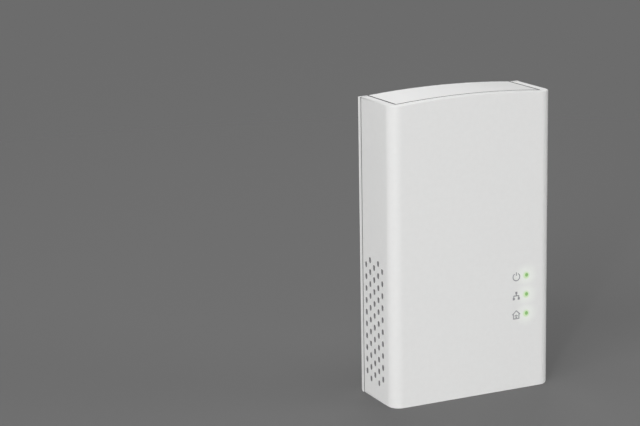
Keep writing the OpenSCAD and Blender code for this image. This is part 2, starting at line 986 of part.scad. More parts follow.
module bridge_rectifier() {
  color([0.12, 0.12, 0.13])
    on_board(bridge_at)
      block(bridge_w, bridge_l, bridge_h);
}

// Two cans that lie on the board, each with a crimp near its end
module bulk_capacitors() {
  color([0.20, 0.22, 0.28])
    for (at = bulk_at)
      on_board(at)
        translate([0, can_len / 2, can_d / 2 + can_lift])
          rotate([90, 0, 0]) {
            cylinder(d = can_d, h = can_len - can_neck - can_cap);
            cylinder(d = can_d - can_neck, h = can_len);
            translate([0, 0, can_len - can_cap])
              cylinder(d = can_d, h = can_cap);
          }
}

// Closed core with a middle leg, in the board's plane
module transformer_core() {
  window_w = core_w / 2 - core_leg - core_mid / 2;
  color([0.20, 0.20, 0.22])
    on_board(transformer_at)
      translate([0, 0, transformer_lift - core_t / 2])
        difference() {
          block(core_w, core_l, core_t);
          for (side = [-1, 1])
            translate([side * (core_mid + window_w) / 2, 0, -over])
              block(window_w, core_l - 2 * core_leg, core_t + 2 * over);
        }
}

// Bobbin's openings and its length between the core's yokes
bobbin_hole_w = core_mid + 2 * bobbin_clear;
bobbin_hole_h = core_t + 2 * bobbin_clear;
bobbin_len = core_l - 2 * core_leg - 2 * bobbin_clear;

// Square tube along the middle leg, centred on it
module leg_tube(w, h, hole_w, hole_h, len) {
  on_board(transformer_at)
    translate([0, len / 2, transformer_lift])
      rotate([90, 0, 0])
        linear_extrude(len)
          difference() {
            square([w, h], center = true);
            square([hole_w, hole_h], center = true);
          }
}

module transformer_bobbin() {
  flange_w = core_w - 2 * core_leg - 2 * bobbin_clear;
  color([0.15, 0.15, 0.16]) {
    leg_tube(bobbin_hole_w + 2 * bobbin_wall, bobbin_hole_h + 2 * bobbin_wall,
      bobbin_hole_w, bobbin_hole_h, bobbin_len);
    for (side = [-1, 1])
      translate([0, 0, side * (bobbin_len - bobbin_wall) / 2])
        leg_tube(flange_w, bobbin_flange_b, bobbin_hole_w, bobbin_hole_h, bobbin_wall);
  }
}

module transformer_winding() {
  wound_w = core_w - 2 * core_leg - 2 * winding_gap;
  wound_h = bobbin_flange_b - winding_gap;
  color([0.85, 0.72, 0.25])
    leg_tube(wound_w, wound_h, bobbin_hole_w + 2 * bobbin_wall + 2 * fit,
      bobbin_hole_h + 2 * bobbin_wall + 2 * fit, bobbin_len - 2 * bobbin_wall - 2 * fit);
}

module power_controller() {
  color([0.12, 0.12, 0.13])
    on_board(controller_at)
      block(controller_w, controller_l, controller_h);
}

module output_diode() {
  color([0.12, 0.12, 0.13])
    on_board(diode_at)
      block(diode_w, diode_l, diode_h);
}

module output_capacitor() {
  color([0.20, 0.22, 0.28])
    on_board(output_at) {
      cylinder(d = output_d, h = output_rim);
      cylinder(d = output_d - output_neck, h = output_h);
      translate([0, 0, output_rim + output_neck])
        cylinder(d = output_d, h = output_h - output_rim - output_neck);
    }
}

module coupling_transformer() {
  color([0.20, 0.20, 0.22])
    on_board(coupling_at) {
      block(coupling_w, coupling_l, coupling_base);
      block(coupling_w - 2 * coupling_step, coupling_l - 2 * coupling_step, coupling_h);
    }
}

module powerline_chip() {
  color([0.12, 0.12, 0.13])
    on_board(chip_at)
      block(chip_w, chip_w, chip_t);
}

module thermal_pad() {
  color([0.60, 0.65, 0.75])
    on_board(chip_at)
      translate([0, 0, chip_t])
        block(chip_w, chip_w, pad_t);
}

module heat_sink() {
  fin_step = (sink_w - fin_t) / (sink_fins - 1);
  color([0.75, 0.76, 0.78])
    on_board(chip_at)
      translate([0, 0, chip_t + pad_t]) {
        block(sink_w, sink_w, sink_base);
        for (fin = [0 : sink_fins - 1])
          translate([(fin - (sink_fins - 1) / 2) * fin_step, 0, 0])
            block(fin_t, sink_w, sink_base + fin_h);
      }
}

module memory_chip() {
  color([0.12, 0.12, 0.13])
    on_board(memory_at)
      block(memory_w, memory_l, memory_h);
}

module flash_chip() {
  color([0.12, 0.12, 0.13])
    on_board(flash_at)
      block(flash_w, flash_l, flash_h);
}

module ethernet_chip() {
  color([0.12, 0.12, 0.13])
    on_board(phy_at)
      block(phy_w, phy_w, phy_h);
}

// Metal can with round ends on a thin base
module clock_crystal() {
  color([0.75, 0.76, 0.78])
    on_board(crystal_at)
      rotate([0, 0, 90]) {
        block(crystal_l, crystal_w, crystal_base);
        linear_extrude(crystal_h)
          stadium(crystal_l - 2 * crystal_step, crystal_w - 2 * crystal_step);
      }
}

module jack_magnetics() {
  color([0.12, 0.12, 0.13])
    on_board(magnetics_at)
      block(magnetics_w, magnetics_l, magnetics_h);
}

front_cover();
rear_housing();
housing_screws();
plug_body();
line_pin();
neutral_pin();
line_terminal();
neutral_terminal();
earth_strap();
earth_socket();
insulating_sheet();
main_board();
board_screws();
jack_shield();
jack_insert();
jack_contacts();
pair_button();
pair_switch();
pair_plunger();
reset_button();
reset_switch();
reset_plunger();
power_light_pipe();
link_light_pipe();
network_light_pipe();
power_led();
link_led();
network_led();
light_baffle();
fuse();
varistor();
filter_capacitor();
choke_core();
choke_windings();
bridge_rectifier();
bulk_capacitors();
transformer_core();
transformer_bobbin();
transformer_winding();
power_controller();
safety_capacitor();
output_diode();
output_capacitor();
coupling_transformer();
powerline_chip();
thermal_pad();
heat_sink();
memory_chip();
flash_chip();
ethernet_chip();
clock_crystal();
jack_magnetics();
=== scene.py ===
# %% [markdown]
# This lesson dresses a powerline adapter: a slim white box that hangs on its own round mains plug.
# The imported solids come in first as a fixed frame, so every piece below is placed by them.
# The box of the bare solids is kept, and the finished look is meant to stay inside it.

# %% Load the frame
import json
import math
import bmesh
import bpy
from mathutils import Matrix, Vector


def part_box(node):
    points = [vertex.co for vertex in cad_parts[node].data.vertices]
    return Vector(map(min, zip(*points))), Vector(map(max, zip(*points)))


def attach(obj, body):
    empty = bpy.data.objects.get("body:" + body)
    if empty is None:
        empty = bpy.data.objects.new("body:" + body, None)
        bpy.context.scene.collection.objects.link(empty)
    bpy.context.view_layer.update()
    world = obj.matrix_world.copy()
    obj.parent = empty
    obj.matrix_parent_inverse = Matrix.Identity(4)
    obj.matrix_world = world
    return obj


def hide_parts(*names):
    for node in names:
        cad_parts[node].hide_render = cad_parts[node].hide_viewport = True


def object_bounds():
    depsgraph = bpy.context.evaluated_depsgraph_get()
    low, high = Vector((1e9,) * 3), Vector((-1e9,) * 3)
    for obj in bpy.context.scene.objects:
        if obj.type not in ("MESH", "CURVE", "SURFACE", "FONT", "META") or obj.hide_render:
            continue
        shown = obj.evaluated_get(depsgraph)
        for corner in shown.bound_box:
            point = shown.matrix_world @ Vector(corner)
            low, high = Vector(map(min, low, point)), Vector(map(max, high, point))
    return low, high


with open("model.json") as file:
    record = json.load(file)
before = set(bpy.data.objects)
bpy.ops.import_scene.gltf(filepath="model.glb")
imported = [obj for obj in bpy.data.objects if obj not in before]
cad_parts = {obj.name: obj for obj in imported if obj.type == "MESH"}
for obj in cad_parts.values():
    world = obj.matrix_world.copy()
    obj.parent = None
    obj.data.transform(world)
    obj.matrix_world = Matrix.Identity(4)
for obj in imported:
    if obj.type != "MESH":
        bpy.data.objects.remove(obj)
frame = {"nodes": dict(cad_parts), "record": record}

MM = 0.001
nodes = frame["nodes"]
cad_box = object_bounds()
print("solids:", len(nodes), "box in mm:", [[round(v / MM, 2) for v in corner] for corner in cad_box])

# %% [markdown]
# The camera repeats the photograph's view: a long lens, from the left and a little above.
# Its place and turn were fitted to the box's own corners, and the picture's middle is the lens axis.
# A matrix of three axes is clearer here than three chained turns.

# %% Camera
def camera_turn(yaw, pitch, roll):
    level = math.cos(pitch)
    forward = Vector((math.sin(yaw) * level, math.cos(yaw) * level, math.sin(pitch)))
    right = forward.cross(Vector((0, 0, 1))).normalized()
    up = right.cross(forward)
    rolled_right = right * math.cos(roll) + up * math.sin(roll)
    rolled_up = up * math.cos(roll) - right * math.sin(roll)
    return Matrix((rolled_right, rolled_up, -forward)).transposed()


camera_data = bpy.data.cameras.new("photo_camera")
camera_data.sensor_fit = "HORIZONTAL"
camera_data.sensor_width = 36
camera_data.lens = 111.32
camera_data.clip_start = 0.01
camera = bpy.data.objects.new("photo_camera", camera_data)
bpy.context.scene.collection.objects.link(camera)
camera_place = Vector((-310.37, -566.64, 130.64)) * MM
camera_angles = [math.radians(angle) for angle in (25.196, -13.208, -1.037)]
camera.matrix_world = Matrix.Translation(camera_place) @ camera_turn(*camera_angles).to_4x4()
bpy.context.scene.camera = camera
print("camera lens in mm:", camera_data.lens)

# %% [markdown]
# Every finish below is a small tree of shader nodes, and a few steps come back in all of them.
# These helpers make a bare material, a sum of two values, a soft ramp and a mix of two colours.
# They take plain numbers or sockets, so that the recipes stay short.

# %% Helpers for shader nodes
def new_material(name):
    material = bpy.data.materials.new(name)
    material.use_nodes = True
    material.node_tree.nodes.clear()
    return material, material.node_tree


def math_node(tree, operation, first, second):
    node = tree.nodes.new("ShaderNodeMath")
    node.operation = operation
    for socket, value in zip(node.inputs, (first, second)):
        if isinstance(value, (int, float)):
            socket.default_value = value
        else:
            tree.links.new(value, socket)
    return node.outputs[0]


def ramp_node(tree, value, low, high, to_low=0.0, to_high=1.0):
    node = tree.nodes.new("ShaderNodeMapRange")
    node.interpolation_type = "SMOOTHSTEP"
    for label, number in (("From Min", low), ("From Max", high), ("To Min", to_low), ("To Max", to_high)):
        node.inputs[label].default_value = number
    tree.links.new(value, node.inputs["Value"])
    return node.outputs[0]


def mix_colour(tree, factor, first, second):
    node = tree.nodes.new("ShaderNodeMix")
    node.data_type = "RGBA"
    tree.links.new(factor, node.inputs[0])
    for socket, value in ((node.inputs[6], first), (node.inputs[7], second)):
        if isinstance(value, tuple):
            socket.default_value = (*value, 1)
        else:
            tree.links.new(value, socket)
    return node.outputs[2]


print("helpers:", [helper.__name__ for helper in (new_material, math_node, ramp_node, mix_colour)])

# %% [markdown]
# A plain floor carries the soft shadow, and large lamps give even studio light.
# The floor throws light up like a pale one, but the camera and reflections see a darker grey.
# So the white box stands out. Far from it the floor fades into the grey air, and no view shows a horizon.
# The main lamp stands high at the left, and a tall narrow one draws the bright line down the corner.
# From below, the floor lets the view and a small lamp's light through to the port and the buttons.

# %% Floor and light
def make_floor(half_size, height, bounce_tone, seen_tone, fade_start, fade_end):
    mesh = bpy.data.meshes.new("studio_floor")
    corners = [(-1, -1), (1, -1), (1, 1), (-1, 1)]
    mesh.from_pydata([(x * half_size, y * half_size, height) for x, y in corners], [], [(0, 1, 2, 3)])
    floor = bpy.data.objects.new("studio_floor", mesh)
    bpy.context.scene.collection.objects.link(floor)
    material, tree = new_material("floor_grey")
    output = tree.nodes.new("ShaderNodeOutputMaterial")
    surface = tree.nodes.new("ShaderNodeBsdfPrincipled")
    surface.inputs["Roughness"].default_value = 0.8
    side = tree.nodes.new("ShaderNodeNewGeometry")
    path = tree.nodes.new("ShaderNodeLightPath")
    seen = path.outputs["Is Camera Ray"]
    for ray in ("Is Glossy Ray", "Is Transmission Ray"):
        seen = math_node(tree, "MAXIMUM", seen, path.outputs[ray])
    tree.links.new(mix_colour(tree, seen, bounce_tone, seen_tone), surface.inputs["Base Color"])
    place = tree.nodes.new("ShaderNodeTexCoord")
    reach = tree.nodes.new("ShaderNodeVectorMath")
    reach.operation = "LENGTH"
    tree.links.new(place.outputs["Object"], reach.inputs[0])
    far = ramp_node(tree, reach.outputs["Value"], fade_start, fade_end)
    open_part = math_node(tree, "MULTIPLY", far, seen)
    for opening in (side.outputs["Backfacing"], path.outputs["Is Shadow Ray"]):
        open_part = math_node(tree, "MAXIMUM", open_part, opening)
    clear = tree.nodes.new("ShaderNodeBsdfTransparent")
    mix = tree.nodes.new("ShaderNodeMixShader")
    for socket, value in zip(mix.inputs, (open_part, surface.outputs[0], clear.outputs[0])):
        tree.links.new(value, socket)
    tree.links.new(mix.outputs[0], output.inputs["Surface"])
    mesh.materials.append(material)


def make_lamp(name, place, target, width, height, power):
    data = bpy.data.lights.new(name, "AREA")
    data.shape = "RECTANGLE"
    data.size = width
    data.size_y = height
    data.energy = power
    lamp = bpy.data.objects.new(name, data)
    bpy.context.scene.collection.objects.link(lamp)
    lamp.location = place
    lamp.rotation_euler = (Vector(target) - Vector(place)).to_track_quat("-Z", "Y").to_euler()


floor_gap = 0.05 * MM
make_floor(6.0, cad_box[0][2] - floor_gap, bounce_tone=(0.68, 0.68, 0.675), seen_tone=(0.15, 0.15, 0.15),
           fade_start=0.2, fade_end=0.9)
aim = (0, 0, -29 * MM)
make_lamp("main_lamp", (-1.30, -1.05, 1.05), aim, 1.6, 1.4, 19.8)
make_lamp("front_strip", (-0.84, -0.99, 0.30), aim, 0.06, 1.1, 4.1)
make_lamp("fill_lamp", (1.5, -1.0, 0.5), aim, 1.0, 1.0, 6.9)
make_lamp("back_lamp", (0.6, 1.5, 0.9), aim, 1.2, 1.2, 6)
make_lamp("top_lamp", (0.0, 0.0, 1.8), aim, 1.4, 1.4, 11.5)
make_lamp("under_lamp", (0.0, 0.0, -1.2), aim, 0.4, 0.4, 7)
world = bpy.data.worlds.new("studio_air")
bpy.context.scene.world = world
world.use_nodes = True
air = world.node_tree.nodes["Background"]
air.inputs["Color"].default_value = (1.0, 1.0, 1.0, 1)
air.inputs["Strength"].default_value = 0.15
bpy.context.scene.view_settings.view_transform = "Standard"

# %% [markdown]
# Three effects come back in most of the finishes, so each is a node group that is built once.
# The grain group gives the fine skin of a moulding and slow blotches in its tone.
# The edge group finds edges with a bevelled normal, and the dust group lies on what faces up.

# %% Shared effects
def new_group(name, inputs, outputs):
    group = bpy.data.node_groups.new(name, "ShaderNodeTree")
    for label, value in inputs:
        socket = group.interface.new_socket(label, in_out="INPUT", socket_type="NodeSocketFloat")
        socket.default_value = value
    for label in outputs:
        group.interface.new_socket(label, in_out="OUTPUT", socket_type="NodeSocketFloat")
    return group, group.nodes.new("NodeGroupInput"), group.nodes.new("NodeGroupOutput")


def noise_node(tree, scale, detail):
    place = tree.nodes.new("ShaderNodeTexCoord")
    noise = tree.nodes.new("ShaderNodeTexNoise")
    noise.inputs["Detail"].default_value = detail
    tree.links.new(place.outputs["Object"], noise.inputs["Vector"])
    tree.links.new(scale, noise.inputs["Scale"])
    return noise.outputs[0]


grain_group, start, end = new_group(
    "moulded_grain", [("Grain Scale", 6000), ("Blotch Scale", 90)], ["Grain", "Blotch"])
grain_group.links.new(noise_node(grain_group, start.outputs["Grain Scale"], 3), end.inputs["Grain"])
blotches = noise_node(grain_group, start.outputs["Blotch Scale"], 2)
grain_group.links.new(ramp_node(grain_group, blotches, 0.25, 0.75), end.inputs["Blotch"])

edge_group, start, end = new_group("edge_wear", [("Radius", 0.0004), ("Breakup Scale", 700)], ["Mask"])
rounded = edge_group.nodes.new("ShaderNodeBevel")
rounded.samples = 4
edge_group.links.new(start.outputs["Radius"], rounded.inputs["Radius"])
true_normal = edge_group.nodes.new("ShaderNodeNewGeometry")
agreement = edge_group.nodes.new("ShaderNodeVectorMath")
agreement.operation = "DOT_PRODUCT"
edge_group.links.new(rounded.outputs[0], agreement.inputs[0])
edge_group.links.new(true_normal.outputs["Normal"], agreement.inputs[1])
bend = ramp_node(edge_group, math_node(edge_group, "SUBTRACT", 1.0, agreement.outputs["Value"]), 0.01, 0.2)
breakup = ramp_node(edge_group, noise_node(edge_group, start.outputs["Breakup Scale"], 4), 0.35, 0.65)
edge_group.links.new(math_node(edge_group, "MULTIPLY", bend, breakup), end.inputs["Mask"])

dust_group, start, end = new_group("settled_dust", [("Amount", 0.1), ("Speck Scale", 1500)], ["Mask"])
facing = dust_group.nodes.new("ShaderNodeNewGeometry")
parts = dust_group.nodes.new("ShaderNodeSeparateXYZ")
dust_group.links.new(facing.outputs["Normal"], parts.inputs[0])
upward = ramp_node(dust_group, parts.outputs["Z"], 0.3, 1.0)
specks = ramp_node(dust_group, noise_node(dust_group, start.outputs["Speck Scale"], 5), 0.4, 0.75)
settled = math_node(dust_group, "MULTIPLY", upward, specks)
film = math_node(dust_group, "MULTIPLY", settled, start.outputs["Amount"])
dust_group.links.new(film, end.inputs["Mask"])
print("effects:", [g.name for g in (grain_group, edge_group, dust_group)])

# %% [markdown]
# One recipe makes most finishes: a tone with blotches, worn edges, a film of dust and a fine bump.
# It could be one material with many sliders, but a material for each finish is easier to repaint.
# What is the same all over, such as metalness, is set on the shader itself.

# %% Recipe for a finish
dust_colour = (0.55, 0.53, 0.50)
bump_strength = 0.6
rough_spread = 0.03


def place_group(tree, group, **values):
    node = tree.nodes.new("ShaderNodeGroup")
    node.node_tree = group
    for label, value in values.items():
        node.inputs[label.replace("_", " ")].default_value = value
    return node


def finish(name, colour, rough, metal=0.0, grain=6000, depth=0.004, blotch=90, spread=0.05,
           edge_colour=None, edge_radius=0.35, edge_amount=0.3, dust=0.06, pattern=None):
    material, tree = new_material(name)
    output = tree.nodes.new("ShaderNodeOutputMaterial")
    shader = tree.nodes.new("ShaderNodeBsdfPrincipled")
    shader.name = "surface"
    shader.inputs["Metallic"].default_value = metal
    tree.links.new(shader.outputs[0], output.inputs["Surface"])
    skin = place_group(tree, grain_group, Grain_Scale=grain, Blotch_Scale=blotch)
    darker = tuple(c * (1 - spread) for c in colour)
    lighter = tuple(min(1.0, c * (1 + spread)) for c in colour)
    tone = mix_colour(tree, skin.outputs["Blotch"], darker, lighter)
    if pattern:
        tone = pattern(tree, tone)
    worn = place_group(tree, edge_group, Radius=edge_radius * MM)
    rubbed = math_node(tree, "MULTIPLY", worn.outputs["Mask"], edge_amount)
    rubbed_colour = edge_colour or tuple(min(1.0, c * 1.25 + 0.02) for c in colour)
    tone = mix_colour(tree, rubbed, tone, rubbed_colour)
    film = place_group(tree, dust_group, Amount=dust)
    tone = mix_colour(tree, film.outputs["Mask"], tone, dust_colour)
    tree.links.new(tone, shader.inputs["Base Color"])
    sheen = ramp_node(tree, skin.outputs["Blotch"], 0, 1, rough - rough_spread, rough + rough_spread)
    tree.links.new(sheen, shader.inputs["Roughness"])
    rounding = tree.nodes.new("ShaderNodeBevel")
    rounding.samples = 4
    rounding.inputs["Radius"].default_value = edge_radius * MM
    bump = tree.nodes.new("ShaderNodeBump")
    bump.inputs["Distance"].default_value = depth * MM
    bump.inputs["Strength"].default_value = bump_strength
    tree.links.new(skin.outputs["Grain"], bump.inputs["Height"])
    tree.links.new(rounding.outputs[0], bump.inputs["Normal"])
    tree.links.new(bump.outputs[0], shader.inputs["Normal"])
    return material


print("recipe:", finish.__name__)

# %% [markdown]
# The two shells and the plug are white satin plastic.
# Each lamp's light in the plastic round it is painted: a narrow pale green ring in the colour and a wide
# soft halo of emission.
# Both depend on the distance to the lamp in the object's own coordinates, which holds from every side.

# %% White plastics
lamp_names = ["power_light_pipe", "link_light_pipe", "network_light_pipe"]


def lamp_middle(name):
    low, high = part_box(name)
    return Vector(((low[0] + high[0]) / 2, low[1], (low[2] + high[2]) / 2))


def near_lamps(tree, inner, outer):
    place = tree.nodes.new("ShaderNodeTexCoord")
    nearest = None
    for name in lamp_names:
        reach = tree.nodes.new("ShaderNodeVectorMath")
        reach.operation = "DISTANCE"
        tree.links.new(place.outputs["Object"], reach.inputs[0])
        reach.inputs[1].default_value = lamp_middle(name)
        near = ramp_node(tree, reach.outputs["Value"], inner * MM, outer * MM, 1.0, 0.0)
        nearest = near if nearest is None else math_node(tree, "MAXIMUM", nearest, near)
    return nearest


# Painted light: a pale green ring mixed into the plastic's colour round each lamp.
def painted_lamp_ring(tree, tone):
    return mix_colour(tree, near_lamps(tree, 0.7, 1.6), tone, (0.62, 0.77, 0.52))


# Painted light: the plastic near the lamps glows through emission, though it is no lamp.
def add_painted_lamp_glow(material, inner, outer, colour):
    tree = material.node_tree
    shader = tree.nodes["surface"]
    glow = mix_colour(tree, near_lamps(tree, inner, outer), (0.0, 0.0, 0.0), colour)
    tree.links.new(glow, shader.inputs["Emission Color"])
    shader.inputs["Emission Strength"].default_value = 1.0


shell_white = finish("shell_white", (0.80, 0.80, 0.795), 0.31, depth=0.006, grain=5200, blotch=600,
                     spread=0.008, edge_colour=(0.86, 0.86, 0.855), edge_radius=0.3, edge_amount=0.35,
                     dust=0.05, pattern=painted_lamp_ring)
add_painted_lamp_glow(shell_white, 0.8, 5.0, (0.075, 0.095, 0.068))
plug_white = finish("plug_white", (0.81, 0.81, 0.80), 0.46, depth=0.008, grain=4300, blotch=500,
                    spread=0.010, edge_colour=(0.86, 0.86, 0.85), edge_radius=0.3, dust=0.04)
print("whites:", shell_white.name, plug_white.name)

# %% [markdown]
# The other finishes follow what each piece is made of: plated pins, tinned shield, ferrite and so on.
# They follow the record's slots, so a table of colours and numbers is enough.
# The board gets a pattern of traces under its green mask, from a brick texture whose lines are the copper.

# %% Other finishes
def board_traces(tree, tone):
    place = tree.nodes.new("ShaderNodeTexCoord")
    turn = tree.nodes.new("ShaderNodeMapping")
    turn.inputs["Rotation"].default_value = (math.radians(90), 0, 0)
    bricks = tree.nodes.new("ShaderNodeTexBrick")
    bricks.inputs["Scale"].default_value = 260
    bricks.inputs["Mortar Size"].default_value = 0.06
    bricks.inputs["Color1"].default_value = (0, 0, 0, 1)
    bricks.inputs["Color2"].default_value = (0.15, 0.15, 0.15, 1)
    bricks.inputs["Mortar"].default_value = (1, 1, 1, 1)
    tree.links.new(place.outputs["Object"], turn.inputs["Vector"])
    tree.links.new(turn.outputs[0], bricks.inputs["Vector"])
    return mix_colour(tree, bricks.outputs["Color"], tone, (0.10, 0.34, 0.16))


def tape_layers(tree, tone):
    place = tree.nodes.new("ShaderNodeTexCoord")
    waves = tree.nodes.new("ShaderNodeTexWave")
    waves.bands_direction = "Z"
    waves.inputs["Scale"].default_value = 120
    waves.inputs["Distortion"].default_value = 0.6
    tree.links.new(place.outputs["Object"], waves.inputs["Vector"])
    return mix_colour(tree, waves.outputs[1], tone, (0.62, 0.42, 0.05))


finish_values = {
    "nickel_plate": dict(colour=(0.72, 0.70, 0.66), rough=0.24, metal=1.0, grain=2600, depth=0.003,
                         spread=0.05, edge_colour=(0.86, 0.84, 0.80), dust=0.02),
    "terminal_brass": dict(colour=(0.72, 0.52, 0.22), rough=0.32, metal=1.0, grain=2200, depth=0.004,
                           spread=0.08, edge_colour=(0.86, 0.68, 0.36)),
    "screw_steel": dict(colour=(0.56, 0.57, 0.59), rough=0.34, metal=1.0, grain=3200, depth=0.005,
                        spread=0.08, edge_radius=0.15, edge_colour=(0.75, 0.76, 0.78)),
    "insulating_film": dict(colour=(0.72, 0.68, 0.50), rough=0.38, grain=1500, depth=0.003, spread=0.04),
    "board_green": dict(colour=(0.045, 0.20, 0.09), rough=0.32, grain=3000, depth=0.003, spread=0.08,
                        edge_colour=(0.55, 0.50, 0.30), pattern=board_traces),
    "jack_metal": dict(colour=(0.66, 0.67, 0.69), rough=0.32, metal=1.0, grain=2400, depth=0.004,
                       spread=0.06, edge_radius=0.15),
    "jack_black": dict(colour=(0.022, 0.022, 0.024), rough=0.48, grain=4200, depth=0.008, spread=0.15,
                       edge_colour=(0.07, 0.07, 0.07), edge_radius=0.2),
    "contact_gold": dict(colour=(0.86, 0.62, 0.24), rough=0.22, metal=1.0, grain=3000, depth=0.002,
                         spread=0.05, edge_radius=0.08),
    "button_grey": dict(colour=(0.62, 0.62, 0.615), rough=0.44, grain=5000, depth=0.006, blotch=160,
                        spread=0.02, dust=0.03),
    "button_dark": dict(colour=(0.045, 0.045, 0.048), rough=0.5, grain=4800, depth=0.006, spread=0.12,
                        edge_radius=0.2),
    "switch_black": dict(colour=(0.025, 0.025, 0.027), rough=0.5, grain=4200, depth=0.006, spread=0.12,
                         edge_radius=0.2),
    "switch_plunger": dict(colour=(0.50, 0.50, 0.48), rough=0.45, grain=4200, depth=0.005, spread=0.06,
                           edge_radius=0.2),
    "led_body": dict(colour=(0.80, 0.78, 0.55), rough=0.32, grain=3000, depth=0.002, blotch=900,
                     spread=0.10, edge_radius=0.15),
    "baffle_black": dict(colour=(0.025, 0.025, 0.025), rough=0.7, grain=2600, depth=0.02, spread=0.15),
    "fuse_brown": dict(colour=(0.10, 0.045, 0.02), rough=0.35, grain=2600, depth=0.006, spread=0.12),
    "disc_blue": dict(colour=(0.03, 0.10, 0.36), rough=0.32, grain=1800, depth=0.03, spread=0.12,
                      edge_radius=0.8),
    "film_yellow": dict(colour=(0.66, 0.50, 0.06), rough=0.36, grain=2600, depth=0.006, spread=0.05),
    "ferrite": dict(colour=(0.045, 0.045, 0.05), rough=0.62, grain=1900, depth=0.03, spread=0.20,
                    edge_colour=(0.12, 0.12, 0.13)),
    "copper_wire": dict(colour=(0.62, 0.24, 0.07), rough=0.32, metal=1.0, grain=2600, depth=0.003,
                        spread=0.10, edge_radius=0.1),
    "winding_tape": dict(colour=(0.72, 0.50, 0.06), rough=0.34, grain=1600, depth=0.006, spread=0.06,
                         pattern=tape_layers),
    "bobbin_black": dict(colour=(0.025, 0.025, 0.027), rough=0.5, grain=3600, depth=0.006, spread=0.12,
                         edge_radius=0.2),
    "can_sleeve": dict(colour=(0.03, 0.035, 0.07), rough=0.32, grain=2200, depth=0.004, blotch=150,
                       spread=0.12, edge_colour=(0.20, 0.21, 0.25)),
    "chip_black": dict(colour=(0.025, 0.025, 0.027), rough=0.58, grain=3400, depth=0.012, spread=0.15,
                       edge_radius=0.2),
    "thermal_grey": dict(colour=(0.32, 0.36, 0.46), rough=0.75, grain=2200, depth=0.03, spread=0.08),
    "sink_aluminium": dict(colour=(0.66, 0.67, 0.69), rough=0.36, metal=1.0, grain=2400, depth=0.006,
                           spread=0.06, edge_radius=0.15),
    "crystal_can": dict(colour=(0.68, 0.69, 0.71), rough=0.24, metal=1.0, grain=2400, depth=0.002,
                        spread=0.05),
}
slot_finishes = {"shell_white": shell_white, "plug_white": plug_white}
for name, values in finish_values.items():
    slot_finishes[name] = finish(name, **values)
print("finishes:", len(slot_finishes))

# %% [markdown]
# A light pipe is a clear rod whose end shines green in the front face.
# Its middle shows the deep green of the lamp behind it, and light spills into a pale rim.
# So colour and emission follow the distance from the rod's axis.
# Glass with a real diode behind it would be truer but noisy, so the rod glows by itself.

# %% Lamp ends
core_shift = Vector((0.14, 0, 0.08)) * MM


def lamp_finish(name):
    def pale_rim(tree, tone):
        place = tree.nodes.new("ShaderNodeTexCoord")
        flatten = tree.nodes.new("ShaderNodeVectorMath")
        flatten.operation = "MULTIPLY"
        flatten.inputs[1].default_value = (1, 0, 1)
        reach = tree.nodes.new("ShaderNodeVectorMath")
        reach.operation = "DISTANCE"
        core_middle = lamp_middle(name) + core_shift
        reach.inputs[1].default_value = (core_middle.x, 0, core_middle.z)
        tree.links.new(place.outputs["Object"], flatten.inputs[0])
        tree.links.new(flatten.outputs[0], reach.inputs[0])
        rim = ramp_node(tree, reach.outputs["Value"], 0.42 * MM, 0.82 * MM)
        rim_light = mix_colour(tree, rim, (0.13, 0.24, 0.07), (0.18, 0.22, 0.15))
        tree.links.new(rim_light, tree.nodes["surface"].inputs["Emission Color"])
        return mix_colour(tree, rim, tone, (0.60, 0.72, 0.48))

    material = finish("lit_" + name, (0.14, 0.30, 0.11), 0.32, grain=2600, depth=0.002, spread=0.05,
                      edge_amount=0.0, dust=0.0, pattern=pale_rim)
    material.node_tree.nodes["surface"].inputs["Emission Strength"].default_value = 1.0
    return material


def dress(obj, material):
    obj.data.materials.clear()
    obj.data.materials.append(material)


slot_of = {entry["node"]: entry["material_slot"] for entry in frame["record"]["subparts"]}
for name, obj in nodes.items():
    dress(obj, lamp_finish(name) if name in lamp_names else slot_finishes[slot_of[name]])
print("dressed solids:", len(nodes))

# %% [markdown]
# The shells are mouldings, so their outer edges are rounded by about half a millimetre and catch the light.
# A bevel on every edge would spoil the many small slots, so only a copy's outlines carry a bevel weight.
# The copy's loose triangles are merged and its flat faces joined first, for edges that run through.
# The walls of the slots and joints are always in shade, so they get darker finishes, which are painted
# shade; they also hold a little dust.

# %% Rounded shells
shade_skin = dict(grain=3000, depth=0.006, blotch=400, edge_amount=0.0, dust=0.1)
# Painted shade: near black for the joints and mid grey for the slot walls.
joint_shade = finish("joint_shade", (0.085, 0.085, 0.088), 0.7, spread=0.15, **shade_skin)
slot_shade = finish("slot_shade", (0.30, 0.30, 0.305), 0.6, spread=0.08, **shade_skin)
merge_reach = 0.002
flat_angle, sharp_angle = math.radians(0.05), math.radians(25)


